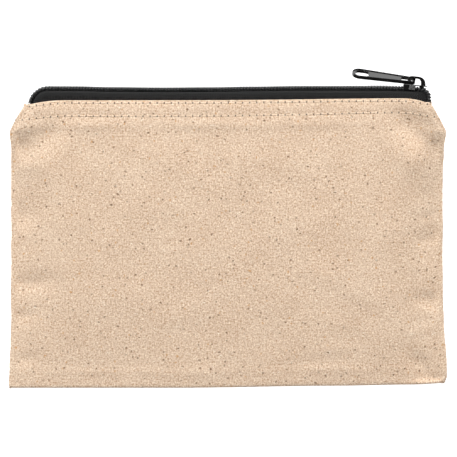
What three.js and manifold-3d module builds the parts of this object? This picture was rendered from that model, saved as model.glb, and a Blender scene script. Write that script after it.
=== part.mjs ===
// A flat zippered pouch of cotton canvas with a No. 5 nylon coil zip along its top edge.
// Units are millimetres. The pouch lies on its back: +X runs along the zip, +Y goes from the
// bottom seam to the zip, +Z is up. The origin is the middle of the face that it rests on.
// The zip stands on edge between the two hems, so its own outward direction is +Y.

import * as THREE from 'three';
import { mergeVertices } from 'three/addons/utils/BufferGeometryUtils.js';
import Module from 'manifold-3d';

const wasm = await Module();
wasm.setup();

// The sewn bag.
const bag = {
  halfWidth: 107.9, // middle to side seam
  bottom: -70.6, // bottom seam
  ear: 55.6, // where a side starts to slant in towards the zip's end
  hem: 71.5, // folded top edge
  hemHalfWidth: 99.9, // middle to the end of the hem
};
const canvas = { thick: 0.6, folded: 1.25, hemDepth: 10, allowance: 8.5, foldWidth: 1.2 };
const seam = { level: 1.5, half: 1.5, endHalf: 5, climb: [30, 38, 47] };
const mouth = { depth: 13.1, middle: 6.8, lift: 0.5, liftFrom: 40, liftTo: 58 };
const tape = { y: 74.9, thick: 0.5, innerEdge: 0.7, bend: 1.3, underHem: 9.3, gap: 0.2 };
const coil = {
  pitch: 1.5, tip: -0.55, root: 0.75, heel: 2.9, lift: 0.4, height: 2.3,
  left: -99.2, right: 99.6, spread: 1.3,
};
const thread = { thick: 0.3, gap: 0.15, firstRow: 1.3, secondRow: 7.4, rowHalf: 98.4 };
const overlock = { width: 1, height: 1.5, gap: 0.1 };
const slider = {
  x: 91.95, tilt: THREE.MathUtils.degToRad(-3),
  left: -5.75, right: 5.75, tail: 3.7, mouth: 4.75, flareFrom: -2.75, flareTo: 0.45,
  wingUnder: 2.85, wingTop: 3.55, flangeFoot: 0.9, flangeThick: 0.55,
  lowerTop: -1.05, lowerFoot: -1.75, lowerHalf: 3.7, lowerRight: 4.6,
};
const bridge = { width: 2.2, socket: 0.5, clearance: 0.1 };
const pull = {
  x: -0.55, y: 5.6, rise: THREE.MathUtils.degToRad(5.5), roll: THREE.MathUtils.degToRad(30),
  length: 31.5, thick: 1, eye: 0.6, nearHalf: 2.65, farHalf: 3.6,
};

const finish = {
  canvas: { color: 0xdfc5ab, roughness: 0.95, metalness: 0 },
  thread: { color: 0xe9dcc6, roughness: 0.8, metalness: 0 },
  tape: { color: 0x2b2b2a, roughness: 0.9, metalness: 0 },
  coil: { color: 0x1b1b1b, roughness: 0.45, metalness: 0 },
  enamel: { color: 0x141414, roughness: 0.3, metalness: 0.4 },
};

const { clamp, lerp, smoothstep } = THREE.MathUtils;
const range = (from, to, steps) =>
  Array.from({ length: steps + 1 }, (_, i) => lerp(from, to, i / steps));

// ---- Shape of the lying bag ----

// Half the bag's width at height y: straight sides, then the slant to the zip's end.
function halfWidth(y) {
  return lerp(bag.halfWidth, bag.hemHalfWidth, clamp((y - bag.ear) / (bag.hem - bag.ear), 0, 1));
}

// Level of the side seam, which climbs from the table to the middle of the zip.
function seamLevel(y) {
  return lerp(seam.level, mouth.middle, smoothstep(y, seam.climb[0], bag.hem));
}

function seamHalf(y) {
  return lerp(seam.half, seam.endHalf, smoothstep(y, bag.ear, bag.hem));
}

// Height of the bag along its middle line, from the bottom seam up to the mouth.
function middleDepth(y) {
  const t = clamp((y - bag.bottom) / (bag.hem - bag.bottom), 0, 1);
  return lerp(2 * seam.half, mouth.depth, 1 - (1 - t) ** 1.4);
}

// 0 at a side seam, 1 from the width where the panel has reached its full height.
function rise(x, y) {
  const width = lerp(34, 7, smoothstep(y, 0, bag.hem));
  const inside = clamp((halfWidth(y) - Math.abs(x)) / width, 0, 1);
  return 1 - (1 - inside) ** 2.2;
}

function frontFace(x, y) {
  return lerp(seamLevel(y) + seamHalf(y), middleDepth(y), rise(x, y));
}

function backFace(x, y) {
  const middle = mouth.lift * smoothstep(y, mouth.liftFrom, mouth.liftTo);
  return lerp(seamLevel(y) - seamHalf(y), middle, rise(x, y));
}

// How far the chain has dropped towards a corner of the bag.
function drop(x) {
  const arc = (start, radius) => {
    const run = clamp(Math.abs(x) - start, 0, 0.97 * radius);
    return radius - Math.sqrt(radius * radius - run * run);
  };
  if (x < 0) return arc(90, 9.5);
  const slope = Math.tan(-slider.tilt);
  const run = Math.max(x - 85, 0);
  const lean = run < 4 ? (slope * run * run) / 8 : slope * (run - 2);
  return lean + arc(95, 5.6);
}

// How far each coil stands off the middle of the zip where the slider has parted them.
function spread(x) {
  return coil.spread * smoothstep(x, 89.5, 94) * (1 - 0.85 * smoothstep(x, 95.6, 99));
}

// ---- Solids ----

function closed(positions, index) {
  let geometry = new THREE.BufferGeometry();
  geometry.setAttribute('position', new THREE.Float32BufferAttribute(positions, 3));
  geometry.setIndex(index);
  geometry = mergeVertices(geometry, 1e-4);
  const corners = geometry.index.array;
  const kept = [];
  for (let i = 0; i < corners.length; i += 3) {
    const [a, b, c] = corners.slice(i, i + 3);
    if (a !== b && b !== c && c !== a) kept.push(a, b, c);
  }
  geometry.setIndex(kept);
  return facingOut(geometry);
}

function facingOut(geometry) {
  const p = geometry.attributes.position;
  const index = geometry.index.array;
  const [a, b, c] = [new THREE.Vector3(), new THREE.Vector3(), new THREE.Vector3()];
  let volume = 0;
  for (let i = 0; i < index.length; i += 3) {
    a.fromBufferAttribute(p, index[i]);
    b.fromBufferAttribute(p, index[i + 1]);
    c.fromBufferAttribute(p, index[i + 2]);
    volume += a.dot(b.cross(c));
  }
  if (volume < 0) {
    for (let i = 0; i < index.length; i += 3) {
      [index[i + 1], index[i + 2]] = [index[i + 2], index[i + 1]];
    }
  }
  geometry.computeVertexNormals();
  return geometry;
}

// A closed slab over a grid: place(u, v, layer) gives the point on layer 0 or 1.
function slab(us, vs, place) {
  const positions = [];
  const index = [];
  for (const layer of [0, 1]) {
    for (const u of us) {
      for (const v of vs) positions.push(...place(u, v, layer));
    }
  }
  const at = (i, j, layer) => (layer * us.length + i) * vs.length + j;
  const quad = (a, b, c, d) => index.push(a, b, c, a, c, d);
  const [m, n] = [us.length - 1, vs.length - 1];
  for (let i = 0; i < m; i++) {
    for (let j = 0; j < n; j++) {
      quad(at(i, j, 1), at(i + 1, j, 1), at(i + 1, j + 1, 1), at(i, j + 1, 1));
      quad(at(i, j, 0), at(i, j + 1, 0), at(i + 1, j + 1, 0), at(i + 1, j, 0));
    }
    quad(at(i, 0, 0), at(i + 1, 0, 0), at(i + 1, 0, 1), at(i, 0, 1));
    quad(at(i + 1, n, 0), at(i, n, 0), at(i, n, 1), at(i + 1, n, 1));
  }
  for (let j = 0; j < n; j++) {
    quad(at(0, j + 1, 0), at(0, j, 0), at(0, j, 1), at(0, j + 1, 1));
    quad(at(m, j, 0), at(m, j + 1, 0), at(m, j + 1, 1), at(m, j, 1));
  }
  return closed(positions, index);
}

// A thread of square section through the points route(t), for each t of places.
function strand(places, route, thick = thread.thick, height = thick) {
  const up = new THREE.Vector3(0, 0, 1);
  const place = (t, v, layer) => {
    const [a, b] = [new THREE.Vector3(...route(t - 1e-3)), new THREE.Vector3(...route(t + 1e-3))];
    const across = b.clone().sub(a).cross(up).normalize().multiplyScalar((v - 0.5) * thick);
    const middle = a.add(b).multiplyScalar(0.5).add(across);
    return [middle.x, middle.y, middle.z + (layer - 0.5) * height];
  };
  return slab(places, [0, 1], place);
}

function solid(geometry) {
  const bare = mergeVertices(new THREE.BufferGeometry()
    .setAttribute('position', geometry.attributes.position)
    .setIndex(geometry.index), 1e-4);
  return new wasm.Manifold(new wasm.Mesh({
    numProp: 3,
    vertProperties: new Float32Array(bare.attributes.position.array),
    triVerts: new Uint32Array(bare.index.array),
  }));
}

function geometryOf(manifold) {
  const mesh = manifold.getMesh();
  const geometry = new THREE.BufferGeometry();
  geometry.setAttribute('position', new THREE.Float32BufferAttribute(mesh.vertProperties, 3));
  geometry.setIndex([...mesh.triVerts]);
  geometry.computeVertexNormals();
  return geometry;
}

const joined = (...geometries) =>
  geometryOf(geometries.map(solid).reduce((whole, next) => whole.add(next)));

// A flat shape of the XZ plane, made solid between two heights of Y.
function standing(shape, low, high) {
  return new THREE.ExtrudeGeometry(shape, { depth: high - low, bevelEnabled: false, curveSegments: 5 })
    .rotateX(Math.PI / 2)
    .translate(0, high, 0);
}

const shapeOf = (points) => new THREE.Shape(points.map(([x, y]) => new THREE.Vector2(x, y)));

// ---- Canvas ----

// One panel with its turned seam allowances: side is 1 for the front and -1 for the back.
function panel(side) {
  const face = side > 0 ? frontFace : backFace;
  const edge = canvas.foldWidth;
  const inner = 1 - edge / bag.halfWidth;
  const nearEnd = [0.972, 0.952, 0.925];
  const across = [
    -1, -inner, -inner, ...nearEnd.map((s) => -s), ...range(-0.88, 0.88, 13),
    ...nearEnd.toReversed(), inner, inner, 1,
  ];
  const up = [
    bag.bottom, bag.bottom + edge, bag.bottom + edge, ...range(bag.bottom + 8, 18, 5),
    ...seam.climb, bag.ear, bag.hem - canvas.hemDepth, bag.hem - canvas.hemDepth, bag.hem - 5, bag.hem - 1, bag.hem,
  ];
  const folded = (i, j) => i < 2 || i > across.length - 3 || j < 2 || j > up.length - 5;
  const place = (i, j, layer) => {
    const y = up[j];
    const x = across[i] * halfWidth(y);
    const thick = folded(i, j) ? canvas.folded : canvas.thick;
    return [x, y, face(x, y) - side * (1 - layer) * thick];
  };
  const numbers = (list) => list.map((_, i) => i);
  const sheet = slab(numbers(across), numbers(up), place);
  return joined(sheet, ...[-1, 1].map((end) => sideAllowance(side, end)), bottomAllowance(side));
}

// Both plies of an allowance lie on the seam's own level, a little off its middle.
const allowanceZ = (side, y, layer) => seamLevel(y) + side * (0.28 + 0.65 * layer);

function sideAllowance(side, end) {
  const place = (y, v, layer) => {
    const inside = lerp(canvas.allowance, 0.5, v);
    return [end * (halfWidth(y) - inside), y, allowanceZ(side, y, layer)];
  };
  return slab([bag.bottom + 0.5, ...seam.climb, bag.ear - 2], [0, 1], place);
}

function bottomAllowance(side) {
  const half = bag.halfWidth - canvas.allowance - 1;
  const place = (x, v, layer) => {
    const y = bag.bottom + lerp(0.5, canvas.allowance, v);
    return [x, y, allowanceZ(side, y, layer)];
  };
  return slab([-half, half], [0, 1], place);
}

// ---- Threads ----

// A row of top stitching along a hem, lying on the outside of the canvas.
function topStitch(side, below) {
  const face = side > 0 ? frontFace : backFace;
  const away = side * (thread.gap + thread.thick / 2);
  const place = (x) => {
    const y = bag.hem - below;
    return [x, y, face(x, y) + away];
  };
  const half = thread.rowHalf;
  const places = [...range(-half, -90, 6), ...range(-80, 80, 8), ...range(90, half, 6)];
  return strand(places, place);
}

function seamSide(end, inside, low, high, width, height) {
  const place = (y) => [end * (halfWidth(y) - inside), y, seamLevel(y)];
  return strand([low, ...seam.climb, high], place, width, height);
}

const seamBottom = (inside, half, width, height) =>
  strand([-half, half], (x) => [x, bag.bottom + inside, seam.level], width, height);

// ---- Zip ----

// One woven tape: under the hem, up out of the bag, round a bend and under its coil.
function tapeHalf(side) {
  const bends = range(0, Math.PI / 2, 3);
  const surface = (x, y) => {
    const face = side > 0 ? frontFace(x, y) : mouth.middle * 2 - backFace(x, y);
    return face - mouth.middle - canvas.folded - tape.gap - tape.thick / 2;
  };
  // Points of the middle of the tape as [y, distance from the zip's middle, normal].
  const section = (x) => {
    const top = tape.y - drop(x);
    const shoulder = top - tape.bend;
    const foot = bag.hem - tape.underHem;
    const leg = [0, 0.5, 1].map((t) => {
      const y = lerp(foot, shoulder, t);
      return [y, surface(x, Math.min(y, bag.hem)), 0, 1];
    });
    const out = surface(x, Math.min(shoulder, bag.hem)) - tape.bend;
    const turn = bends.map((angle) => [
      shoulder + tape.bend * Math.sin(angle), out + tape.bend * Math.cos(angle),
      Math.sin(angle), Math.cos(angle),
    ]);
    return [...leg, ...turn.slice(1), [top, tape.innerEdge, 1, 0]];
  };
  const place = (x, j, layer) => {
    const [y, out, normalY, normalOut] = section(x)[j];
    const off = (layer - 0.5) * tape.thick;
    return [x, y + off * normalY, mouth.middle + side * (out + off * normalOut)];
  };
  return slab(chainPlaces(coil.left, coil.right), range(0, 6, 6), place);
}

// Places along the chain: close together where it drops, far apart where it is straight.
const chainPlaces = (left, right) =>
  [...range(left, -90, 10), ...range(-60, 60, 4), ...range(85, right, 14)];

// One coil, as a rack whose teeth reach across the middle of the zip between its partner's.
function coilHalf(side) {
  const count = Math.floor((coil.right - coil.left) / coil.pitch) * 2;
  const first = side > 0 ? 0 : 1;
  const place = (i, v, layer) => {
    const x = coil.left + (i * coil.pitch) / 2;
    const tooth = (i + first) % 2 ? coil.tip : coil.root;
    const y = tape.y + coil.lift + layer * coil.height - drop(x);
    return [x, y, mouth.middle + side * (lerp(tooth, coil.heel, v) + spread(x))];
  };
  return slab(range(0, count, count), [0, 1], place);
}

// The row of stitches that holds a coil, where it lies on the inner side of the tape.
function coilStitch(side) {
  const out = 1.9;
  const place = (x) => {
    const y = tape.y - drop(x) - tape.thick / 2 - thread.gap - thread.thick / 2;
    return [x, y, mouth.middle + side * out];
  };
  return strand(chainPlaces(coil.left + 2, coil.right - 3), place);
}

// ---- Slider, bridge and pull, in the slider's own frame on the tape's middle ----

function wing(tailHalf, mouthHalf, right) {
  const half = [
    [slider.left, 0], [slider.left, tailHalf - 0.8], [slider.left + 0.8, tailHalf],
    [slider.flareFrom, tailHalf], [slider.flareTo, mouthHalf], [right - 2, mouthHalf],
    [right - 0.6, mouthHalf - 1.1], [right, mouthHalf - 2.6],
  ];
  const other = half.slice(1).reverse().map(([x, z]) => [x, -z]);
  return shapeOf([...half, ...other]);
}

// A side wall that follows the edge of the upper wing from the tail to the end of its flare.
function flange(end) {
  const outer = [
    [slider.left + 0.8, slider.tail], [slider.flareFrom, slider.tail], [slider.flareTo, slider.mouth],
  ];
  const inner = outer.map(([x, z]) => [x, z - slider.flangeThick]).reverse();
  return shapeOf([...outer, ...inner].map(([x, z]) => [x, end * z]));
}

function sliderBody() {
  const post = shapeOf([[1.9, 0], [2.9, 0.5], [3.8, 0.5], [4.4, 0], [3.8, -0.5], [2.9, -0.5]]);
  const sunk = 0.1;
  const casting = [
    standing(wing(slider.tail, slider.mouth, slider.right), slider.wingUnder, slider.wingTop),
    standing(
      wing(slider.lowerHalf - 0.5, slider.lowerHalf, slider.lowerRight),
      slider.lowerFoot, slider.lowerTop,
    ),
    standing(post, slider.lowerTop - sunk, slider.wingUnder + sunk),
    ...[-1, 1].map((end) => standing(flange(end), slider.flangeFoot, slider.wingUnder + sunk)),
  ].map(indexed).map(solid).reduce((whole, next) => whole.add(next));
  const sockets = bridgeFeet(bridge.clearance).map(indexed).map(solid);
  return geometryOf(sockets.reduce((whole, next) => whole.subtract(next), casting));
}

const indexed = (geometry) => closed(
  [...geometry.attributes.position.array],
  [...(geometry.index?.array ?? Array(geometry.attributes.position.count).keys())],
);

// The two feet of the bridge, sunk in sockets of the upper wing.
function bridgeFeet(grow = 0) {
  const [low, high] = [slider.wingTop - bridge.socket - grow, slider.wingTop + 1];
  const z = bridge.width / 2 + grow;
  return [[-3.5, -2.4], [3, 5.1]].map(([from, to]) => standing(shapeOf([
    [from - grow, -z], [to + grow, -z], [to + grow, z], [from - grow, z],
  ]), low, high));
}

// The arch that carries the pull, a bent strip along the slider.
function sliderBridge() {
  const foot = slider.wingTop - bridge.socket;
  const arch = new THREE.Shape();
  arch.moveTo(-3.5, foot);
  arch.lineTo(-3.5, 6.2);
  arch.quadraticCurveTo(-3.3, 7.95, -1.7, 7.95);
  arch.lineTo(1.6, 7.95);
  arch.quadraticCurveTo(4.9, 7.6, 5.1, foot + 0.9);
  arch.lineTo(5.1, foot);
  arch.lineTo(3, foot);
  arch.quadraticCurveTo(3.3, 6.95, 1.2, 7);
  arch.lineTo(-1.5, 7);
  arch.quadraticCurveTo(-2.4, 6.95, -2.4, 6.1);
  arch.lineTo(-2.4, foot);
  return new THREE.ExtrudeGeometry(arch, {
    depth: bridge.width, bevelEnabled: false, curveSegments: 6,
  }).translate(0, 0, -bridge.width / 2);
}

// The pull lies in its own XZ plane, with its eye at the origin and its tab along -X.
function pullTab() {
  const far = pull.length - pull.eye;
  const { nearHalf, farHalf, eye } = pull;
  const outline = new THREE.Shape();
  outline.moveTo(eye - 1.7, nearHalf);
  outline.lineTo(farHalf - far, farHalf);
  outline.absarc(farHalf - far, 0, farHalf, Math.PI / 2, 1.5 * Math.PI, false);
  outline.lineTo(eye - 1.7, -nearHalf);
  outline.quadraticCurveTo(eye, -nearHalf, eye, -nearHalf + 1.7);
  outline.lineTo(eye, nearHalf - 1.7);
  outline.quadraticCurveTo(eye, nearHalf, eye - 1.7, nearHalf);
  outline.holes.push(slot(-6.6, -0.55, 1.87, 1.2), slot(-29.3, -22.4, 2.6, 2.2));
  return standing(outline, -pull.thick / 2, pull.thick / 2);
}

// A slot with rounded corners between two places along the tab.
function slot(from, to, half, corner) {
  const hole = new THREE.Path();
  hole.moveTo(from + corner, -half);
  hole.lineTo(to - corner, -half);
  hole.quadraticCurveTo(to, -half, to, -half + corner);
  hole.lineTo(to, half - corner);
  hole.quadraticCurveTo(to, half, to - corner, half);
  hole.lineTo(from + corner, half);
  hole.quadraticCurveTo(from, half, from, half - corner);
  hole.lineTo(from, -half + corner);
  hole.quadraticCurveTo(from, -half, from + corner, -half);
  return hole;
}

// ---- Assembly ----

const group = new THREE.Group();

function add(name, geometry, look, parent = group) {
  const mesh = new THREE.Mesh(geometry, new THREE.MeshStandardMaterial(look));
  mesh.name = name;
  parent.add(mesh);
  return mesh;
}

for (const [label, side] of [['front', 1], ['back', -1]]) {
  add(`${label}_panel`, panel(side), finish.canvas);
  add(`topstitch_${label}_edge`, topStitch(side, thread.firstRow), finish.thread);
  add(`topstitch_${label}_lower`, topStitch(side, thread.secondRow), finish.thread);
  add(`zip_tape_${label}`, tapeHalf(side), finish.tape);
  add(`zip_coil_${label}`, coilHalf(side), finish.coil);
  add(`coil_stitching_${label}`, coilStitch(side), finish.coil);
}

const beadInside = canvas.allowance + overlock.gap + overlock.width / 2;
for (const [label, end] of [['left', -1], ['right', 1]]) {
  const stitched = seamSide(end, 1.6, bag.bottom + 3, bag.ear - 3, thread.thick, thread.thick);
  add(`seam_thread_${label}`, stitched, finish.thread);
  const bead = seamSide(
    end, beadInside, bag.bottom + 11, bag.ear - 3, overlock.width, overlock.height,
  );
  add(`overlock_${label}`, bead, finish.thread);
}
const threadHalf = bag.halfWidth - 10.5;
add('seam_thread_bottom', seamBottom(1.6, threadHalf, thread.thick, thread.thick), finish.thread);
const bottomBead = seamBottom(beadInside, threadHalf - 2, overlock.width, overlock.height);
add('overlock_bottom', bottomBead, finish.thread);

const sliderFrame = new THREE.Group();
sliderFrame.position.set(slider.x, tape.y - drop(slider.x), mouth.middle);
sliderFrame.rotation.z = slider.tilt;
add('slider_body', sliderBody(), finish.enamel, sliderFrame);
add('slider_bridge', indexed(sliderBridge()), finish.enamel, sliderFrame);

const pullFrame = new THREE.Group();
pullFrame.position.set(pull.x, pull.y, 0);
pullFrame.rotation.z = -pull.rise;
const tab = add('pull_tab', indexed(pullTab()), finish.enamel, pullFrame);
tab.rotation.x = pull.roll;
sliderFrame.add(pullFrame);
group.add(sliderFrame);

export default group;
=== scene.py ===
import math

import bmesh
import bpy
from mathutils import Matrix, Vector, noise
from mathutils.bvhtree import BVHTree


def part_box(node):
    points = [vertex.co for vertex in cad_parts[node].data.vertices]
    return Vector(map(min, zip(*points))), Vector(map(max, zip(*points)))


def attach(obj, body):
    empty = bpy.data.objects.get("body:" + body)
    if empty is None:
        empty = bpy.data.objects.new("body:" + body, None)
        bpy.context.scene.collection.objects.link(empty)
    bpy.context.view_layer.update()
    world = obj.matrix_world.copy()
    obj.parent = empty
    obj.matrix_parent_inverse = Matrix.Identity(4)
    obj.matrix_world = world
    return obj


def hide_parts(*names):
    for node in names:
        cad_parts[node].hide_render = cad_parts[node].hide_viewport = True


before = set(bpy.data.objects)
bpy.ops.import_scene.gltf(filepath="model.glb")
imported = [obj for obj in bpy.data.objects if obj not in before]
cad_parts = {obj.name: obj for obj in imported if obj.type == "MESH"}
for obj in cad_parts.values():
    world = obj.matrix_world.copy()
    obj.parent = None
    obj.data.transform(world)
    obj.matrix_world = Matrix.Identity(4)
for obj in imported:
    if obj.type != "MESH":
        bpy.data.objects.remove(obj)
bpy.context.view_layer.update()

# Shapes are worked out in millimetres and turned into metres when a piece is finished.
mm = 0.001
panelLow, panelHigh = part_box("front_panel")

bag = {
    "halfWidth": panelHigh.x / mm,
    "bottom": panelLow.y / mm,
    "hem": panelHigh.y / mm,
    "depth": panelHigh.z / mm,
    "hemHalf": 99.6,
    "hemEnd": 69.7,         # height of the hem at its two ends
    "ear": 55.6,            # where the slanted corners start
    "seamLevel": 1.5,
    "seamHalf": 1.5,
    "zipMiddle": 6.8,
    "mouthSeamHalf": 5,
    "partsFrom": 30,        # height where the side seams start to part towards the mouth
    "depthAtBottom": 3,
    "backDepth": 0.5,
    "slopes": (34, 7),      # width of the slope inside a side seam, at mid height and at the hem
    "slopePower": 2.2,
}


# Small helpers.
def clamp(value, low=0.0, high=1.0):
    return max(low, min(high, value))


def lerp(a, b, t):
    return a + (b - a) * t


def smooth(value, low, high):
    t = clamp((value - low) / (high - low))
    return t * t * (3 - 2 * t)


# A smooth line through given stations, each (place, value).
def through(value, stations):
    for (x0, y0), (x1, y1) in zip(stations, stations[1:]):
        if value <= x1:
            return lerp(y0, y1, smooth(value, x0, x1))
    return stations[-1][1]


def hill(value, centre, width):
    return math.exp(-((value - centre) / width) ** 2)


def ripple(x, y, size, seed=0.0):
    return noise.noise(Vector((x / size, y / size, seed)))


# Turns a bmesh in millimetres into a finished piece in metres, at the origin. Faces larger than
# flatOver (square millimetres) are shaded flat.
def finishPiece(bm, name, material, body, replaced=(), place=None, flatOver=1e9, outwards=False):
    if outwards:
        bmesh.ops.recalc_face_normals(bm, faces=bm.faces)
    if place:
        bmesh.ops.transform(bm, matrix=place, verts=bm.verts)
    bmesh.ops.scale(bm, vec=(mm, mm, mm), verts=bm.verts)
    for face in bm.faces:
        face.smooth = face.calc_area() < flatOver * mm * mm
    mesh = bpy.data.meshes.new(name)
    bm.to_mesh(mesh)
    bm.free()
    return putOut(mesh, name, material, body, replaced)


def putOut(mesh, name, material, body, replaced=()):
    piece = bpy.data.objects.new(name, mesh)
    bpy.context.scene.collection.objects.link(piece)
    mesh.materials.clear()
    mesh.materials.append(material)
    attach(piece, body)
    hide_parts(*replaced)
    return piece


# Round threads and wires: each route is a list of points in millimetres.
def threadMesh(name, routes, radius, sides=6):
    curve = bpy.data.curves.new(name, "CURVE")
    curve.dimensions = "3D"
    curve.bevel_depth = radius * mm
    curve.bevel_resolution = (sides - 4) // 2
    curve.use_fill_caps = True
    curve.twist_mode = "MINIMUM"
    for route in routes:
        spline = curve.splines.new("POLY")
        spline.points.add(len(route) - 1)
        for point, (x, y, z) in zip(spline.points, route):
            point.co = (x * mm, y * mm, z * mm, 1)
    holder = bpy.data.objects.new(name, curve)
    bpy.context.scene.collection.objects.link(holder)
    bpy.context.view_layer.update()
    mesh = bpy.data.meshes.new_from_object(holder)
    bpy.data.objects.remove(holder)
    bpy.data.curves.remove(curve)
    mesh.name = name
    for polygon in mesh.polygons:
        polygon.use_smooth = True
    return mesh


# Short forms for material nodes.
def newMaterial(name, **values):
    material = bpy.data.materials.new(name)
    material.use_nodes = True
    shader = material.node_tree.nodes["Principled BSDF"]
    for socket, value in values.items():
        shader.inputs[socket.replace("_", " ")].default_value = value
    return material, material.node_tree, shader


def node(tree, kind, **settings):
    made = tree.nodes.new("ShaderNode" + kind)
    for name, value in settings.items():
        setattr(made, name, value)
    return made


def feed(tree, socket, value):
    if isinstance(value, bpy.types.NodeSocket):
        tree.links.new(value, socket)
    else:
        socket.default_value = value


def maths(tree, operation, a, b=0.0, c=0.0):
    made = node(tree, "Math", operation=operation)
    for socket, value in zip(made.inputs, (a, b, c)):
        feed(tree, socket, value)
    return made.outputs[0]


def wave(tree, value, turn):
    return maths(tree, "SINE", maths(tree, "MULTIPLY", value, turn))


def remap(tree, value, fromLow, fromHigh, toLow=0.0, toHigh=1.0):
    made = node(tree, "MapRange", clamp=True)
    for socket, given in zip(made.inputs, (value, fromLow, fromHigh, toLow, toHigh)):
        feed(tree, socket, given)
    return made.outputs[0]


def stretched(tree, vector, x, y):
    made = node(tree, "VectorMath", operation="MULTIPLY")
    feed(tree, made.inputs[0], vector)
    made.inputs[1].default_value = (x, y, 1)
    return made.outputs[0]


def mottle(tree, vector, scale, detail=2.0, roughness=0.5):
    made = node(tree, "TexNoise")
    feed(tree, made.inputs["Vector"], vector)
    made.inputs["Scale"].default_value = scale
    made.inputs["Detail"].default_value = detail
    made.inputs["Roughness"].default_value = roughness
    return made.outputs["Fac"]


def mixed(tree, amount, a, b):
    made = node(tree, "Mix", data_type="RGBA")
    feed(tree, made.inputs["Factor"], amount)
    feed(tree, made.inputs["A"], a)
    feed(tree, made.inputs["B"], b)
    return made.outputs["Result"]


def bumped(tree, shader, height, strength, distance):
    made = node(tree, "Bump")
    feed(tree, made.inputs["Height"], height)
    made.inputs["Strength"].default_value = strength
    made.inputs["Distance"].default_value = distance
    tree.links.new(made.outputs["Normal"], shader.inputs["Normal"])


def grey(level):
    return (level, level, level, 1)


clothLook = {
    "shadow": (0.44, 0.235, 0.12, 1),
    "light": (1.0, 0.845, 0.665, 1),
    "pale": (0.97, 0.87, 0.74, 1),
    "seed": (0.20, 0.105, 0.05, 1),
    "ochre": (0.60, 0.33, 0.14, 1),
    # painted shade in the needle holes
    "hole": (0.06, 0.03, 0.018, 1),
    "thread": 0.55,         # from one thread to the next
    "wander": 1.7,          # how far the threads wander
    "flatness": 0.35,       # a lower value keeps each thread on top for longer
    "weftShare": 0.55,
    "warpShare": 0.7,
    "grainShare": 3.4,
    "cloudShare": 0.3,
    # the weave's share of the tone paints the thread tops lighter and the gaps between them darker:
    # painted highlight and shade
    "weaveShadeShare": 0.5,
    "darkAt": 2.12,
    "lightAt": 3.4,
    "drift": 5,             # how far the specks stray from their pattern
    "specks": [             # colour, cells to a millimetre, chance, radius, stretch
        ("seed", 0.33, 0.84, 0.22, (1.0, 1.2)),
        ("ochre", 0.22, 0.84, 0.14, (1.1, 1.0)),
        ("pale", 0.37, 0.84, 0.13, (0.6, 1.5)),
        ("pale", 0.39, 0.86, 0.12, (1.5, 0.65)),
    ],
    "faintest": 0.4,        # the faintest speck beside the strongest
    "holePitch": 3.5,
    "holeLength": 0.46,
    "holeWidth": 0.4,
    "relief": 0.00022,
}


# Threads over and under each other: high in the middle of each thread that is on top.
def plainWeave(tree, cloth, parts):
    wander = mottle(tree, cloth, 0.35, 1)
    across = maths(tree, "MULTIPLY_ADD", wander, clothLook["wander"], parts.outputs[0])
    down = maths(tree, "MULTIPLY_ADD", wander, -clothLook["wander"], parts.outputs[1])
    turn = math.pi / clothLook["thread"]
    warp = wave(tree, across, turn)
    weft = wave(tree, down, turn)
    over = remap(tree, maths(tree, "MULTIPLY", warp, weft), -0.06, 0.06)
    warpRound, weftRound = maths(tree, "ABSOLUTE", warp), maths(tree, "ABSOLUTE", weft)
    warpOver = maths(tree, "MULTIPLY", warpRound, maths(tree, "POWER", weftRound, clothLook["flatness"]))
    weftOver = maths(tree, "MULTIPLY", weftRound, maths(tree, "POWER", warpRound, clothLook["flatness"]))
    under = maths(tree, "SUBTRACT", 1, over)
    weftTop = maths(tree, "MULTIPLY", under, weftOver)
    return maths(tree, "ADD", maths(tree, "MULTIPLY", over, warpOver), weftTop)


# Seed fragments and pale slubs, each a small patch in some cells of a scattered pattern.
def specked(tree, cloth, colour):
    sway = node(tree, "TexNoise", noise_dimensions="2D")
    feed(tree, sway.inputs["Vector"], cloth)
    sway.inputs["Scale"].default_value = 0.07
    drifting = node(tree, "VectorMath", operation="MULTIPLY_ADD")
    feed(tree, drifting.inputs[0], sway.outputs["Color"])
    drifting.inputs[1].default_value = (clothLook["drift"], clothLook["drift"], 0)
    feed(tree, drifting.inputs[2], cloth)
    for look, size, chance, radius, stretch in clothLook["specks"]:
        cells = node(tree, "TexVoronoi", voronoi_dimensions="2D")
        feed(tree, cells.inputs["Vector"], stretched(tree, drifting.outputs[0], *stretch))
        cells.inputs["Scale"].default_value = size
        pick = node(tree, "SeparateColor")
        feed(tree, pick.inputs[0], cells.outputs["Color"])
        chosen = remap(tree, pick.outputs[2], chance, chance + 0.03)
        spot = remap(tree, cells.outputs["Distance"], radius, radius * 0.45)
        strength = maths(tree, "MULTIPLY", chosen, spot)
        strength = maths(tree, "MULTIPLY", strength,
                         remap(tree, pick.outputs[1], 0, 1, clothLook["faintest"], 1.0))
        colour = mixed(tree, strength, colour, clothLook[look])
    return colour


# Painted shade in the needle holes of the two rows of stitching: a dark spot at each hole, where the
# thread goes into the cloth.
def shadeNeedleHoles(tree, parts, colour):
    rows = node(tree, "SeparateXYZ")
    feed(tree, rows.inputs[0], node(tree, "UVMap", uv_map="rows").outputs[0])
    pitch = clothLook["holePitch"]
    onePitch = maths(tree, "WRAP", parts.outputs[0], pitch / 2, -pitch / 2)
    reach = maths(tree, "POWER", maths(tree, "DIVIDE", onePitch, clothLook["holeLength"]), 2)
    for row in (0, 1):
        off = maths(tree, "POWER", maths(tree, "DIVIDE", rows.outputs[row], clothLook["holeWidth"]), 2)
        # each hole gets the dark colour of painted shade
        hole = remap(tree, maths(tree, "ADD", reach, off), 1.5, 0.5)
        colour = mixed(tree, hole, colour, clothLook["hole"])
    return colour


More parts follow.
